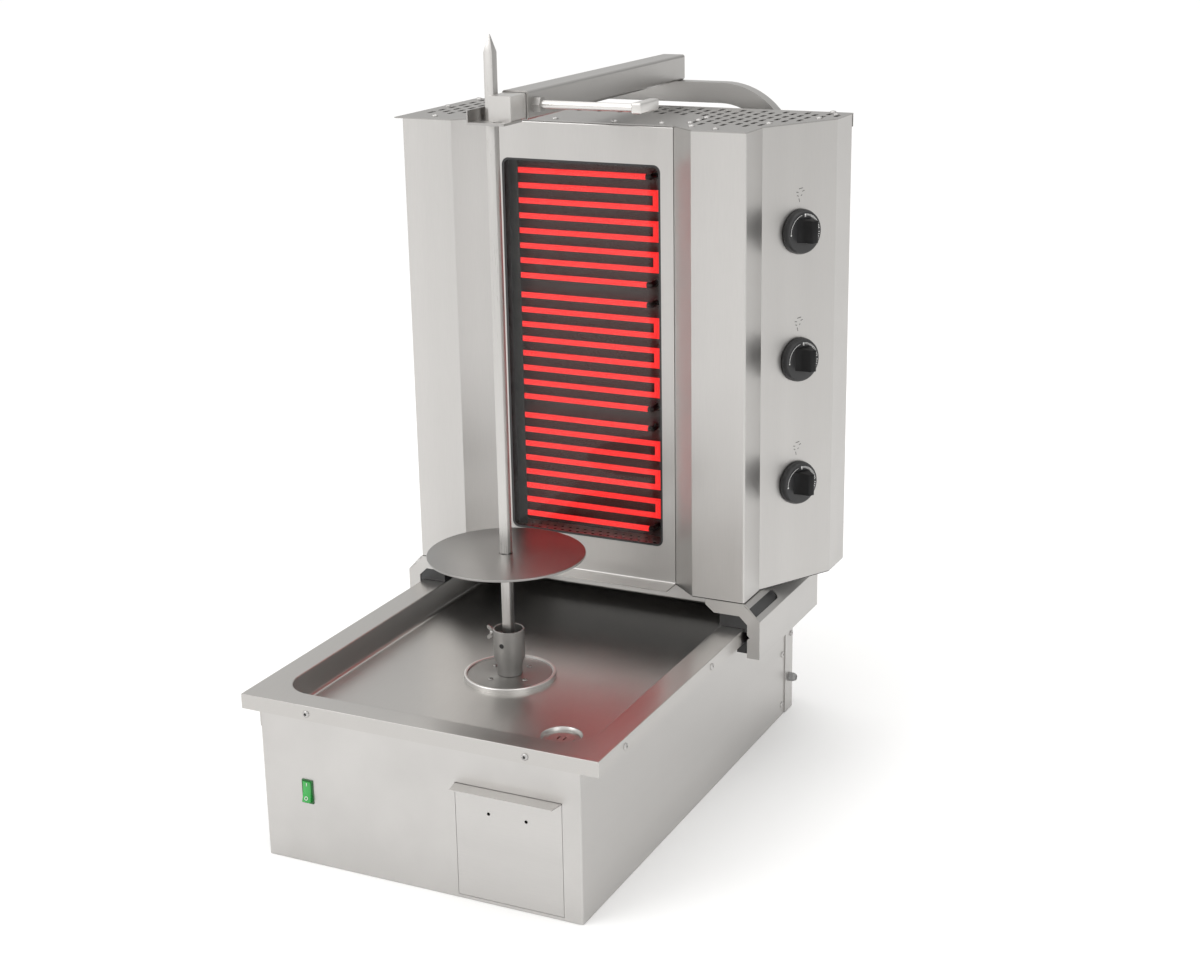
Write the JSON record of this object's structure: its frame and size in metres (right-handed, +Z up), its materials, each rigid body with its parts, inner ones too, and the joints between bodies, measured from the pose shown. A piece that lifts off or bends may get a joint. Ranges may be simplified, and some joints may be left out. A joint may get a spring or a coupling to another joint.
{
  "type": "vertical kebab grill",
  "caption": "Electric vertical rotisserie: turning skewer and meat disc over a drip pan, with a sliding sheet-metal tower of glowing heaters behind glass",
  "frame": {"origin": "where the spindle's axis meets the underside of the base", "axes": "X to the machine's right seen from the front, Y to its back, Z up along the spindle"},
  "size_m": [0.5844, 0.758, 1.0165],
  "materials": {
    "brushed_sheet": "stainless sheet, fine brushing along the folds",
    "cover_sheet": "stainless sheet, brushed front to back, dulled by heat",
    "pan_steel": "stainless sheet, satin, bright on its folded edges",
    "plain_steel": "plain mill-finish steel sheet",
    "turned_steel": "turned steel, fine rings",
    "polished_steel": "polished stainless steel",
    "bar_steel": "satin bar and tube, brushed lengthwise",
    "screw_steel": "plated screw heads",
    "window_glass": "clear heat-proof glass, slightly smoked",
    "heater_glow": "metal-clad heater glowing red",
    "insulation": "pressed fibre board",
    "knob_black": "black phenolic, half gloss",
    "black_plastic": "black nylon",
    "switch_green": "green lens plastic",
    "cast_housing": "die-cast housing",
    "motor_black": "black painted can"
  },
  "bodies": {
    "base": {"base_plate": "plain_steel", "base_casing": "brushed_sheet", "rear_cover": "brushed_sheet", "casing_screws": "screw_steel", "drip_pan": "pan_steel", "bearing_flange": "turned_steel", "drive_screws": "screw_steel", "motor_bracket": "plain_steel", "gearbox": "cast_housing", "drive_motor": "motor_black", "drawer_guides": "plain_steel", "switch_housing": "switch_green", "terminal_block": "black_plastic", "cable_gland": "black_plastic", "rear_frame": "brushed_sheet", "frame_spacers": "turned_steel", "frame_bolts": "screw_steel", "arm_tube": "bar_steel", "clamp_nut": "turned_steel"},
    "drawer": {"drawer_tray": "pan_steel", "drawer_front": "brushed_sheet"},
    "rocker": {"rocker": "switch_green"},
    "spindle": {"spindle_socket": "turned_steel", "drive_shaft": "turned_steel"},
    "wing_screw": {"wing_screw": "turned_steel"},
    "skewer": {"skewer": "polished_steel", "meat_disc": "polished_steel", "disc_collar": "turned_steel", "collar_screw": "turned_steel"},
    "tower": {"carriage_left": "brushed_sheet", "carriage_right": "brushed_sheet", "glide_blocks": "black_plastic", "tower_floor": "plain_steel", "front_panel": "brushed_sheet", "wing_left": "brushed_sheet", "wing_right": "brushed_sheet", "left_side_panel": "brushed_sheet", "control_panel": "brushed_sheet", "tower_rear_panel": "brushed_sheet", "top_cover": "cover_sheet", "cover_screws": "screw_steel", "window_glass": "window_glass", "window_clips": "plain_steel", "heater_tray": "plain_steel", "reflector_plate": "plain_steel", "insulation_pad": "insulation", "element_retainer": "plain_steel", "element_upper": "heater_glow", "element_middle": "heater_glow", "element_lower": "heater_glow", "regulators": "black_plastic"},
    "knob_upper": {"knob_upper": "knob_black"},
    "knob_middle": {"knob_middle": "knob_black"},
    "knob_lower": {"knob_lower": "knob_black"},
    "arm": {"arm_bar": "bar_steel", "spit_bracket": "bar_steel"},
    "clamp_lever": {"clamp_lever": "turned_steel"}
  },
  "joints": [
    {"name": "tower_slide", "type": "slide", "parent": "base", "child": "tower", "axis": [0, -1, 0], "range_m": [0, 0.1]},
    {"name": "spindle_turn", "type": "hinge", "parent": "base", "child": "spindle", "pos_m": [0, 0, 0.2], "axis": [0, 0, 1], "continuous": true},
    {"name": "skewer_lift", "type": "slide", "parent": "spindle", "child": "skewer", "axis": [0, 0, 1], "range_m": [0, 0.06]},
    {"name": "wing_screw_turn", "type": "hinge", "parent": "spindle", "child": "wing_screw", "pos_m": [-0.02, 0, 0.2455], "axis": [-1, 0, 0], "range_deg": [0, 360]},
    {"name": "drawer_slide", "type": "slide", "parent": "base", "child": "drawer", "axis": [0, -1, 0], "range_m": [0, 0.25]},
    {"name": "rocker_tilt", "type": "hinge", "parent": "base", "child": "rocker", "pos_m": [-0.159, -0.247, 0.1], "axis": [1, 0, 0], "range_deg": [0, 18]},
    {"name": "knob_upper_turn", "type": "hinge", "parent": "tower", "child": "knob_upper", "pos_m": [0.28084, 0.3158, 0.74275], "axis": [0.8721, -0.4894, 0], "range_deg": [-270, 0]},
    {"name": "knob_middle_turn", "type": "hinge", "parent": "tower", "child": "knob_middle", "pos_m": [0.28084, 0.3158, 0.57035], "axis": [0.8721, -0.4894, 0], "range_deg": [-270, 0]},
    {"name": "knob_lower_turn", "type": "hinge", "parent": "tower", "child": "knob_lower", "pos_m": [0.28084, 0.3158, 0.39795], "axis": [0.8721, -0.4894, 0], "range_deg": [-270, 0]},
    {"name": "arm_slide", "type": "slide", "parent": "base", "child": "arm", "axis": [0, 1, 0], "range_m": [-0.012, 0.012]},
    {"name": "lever_turn", "type": "hinge", "parent": "base", "child": "clamp_lever", "pos_m": [0.11, 0.034, 0.9315], "axis": [1, 0, 0], "range_deg": [0, 120]}
  ]
}
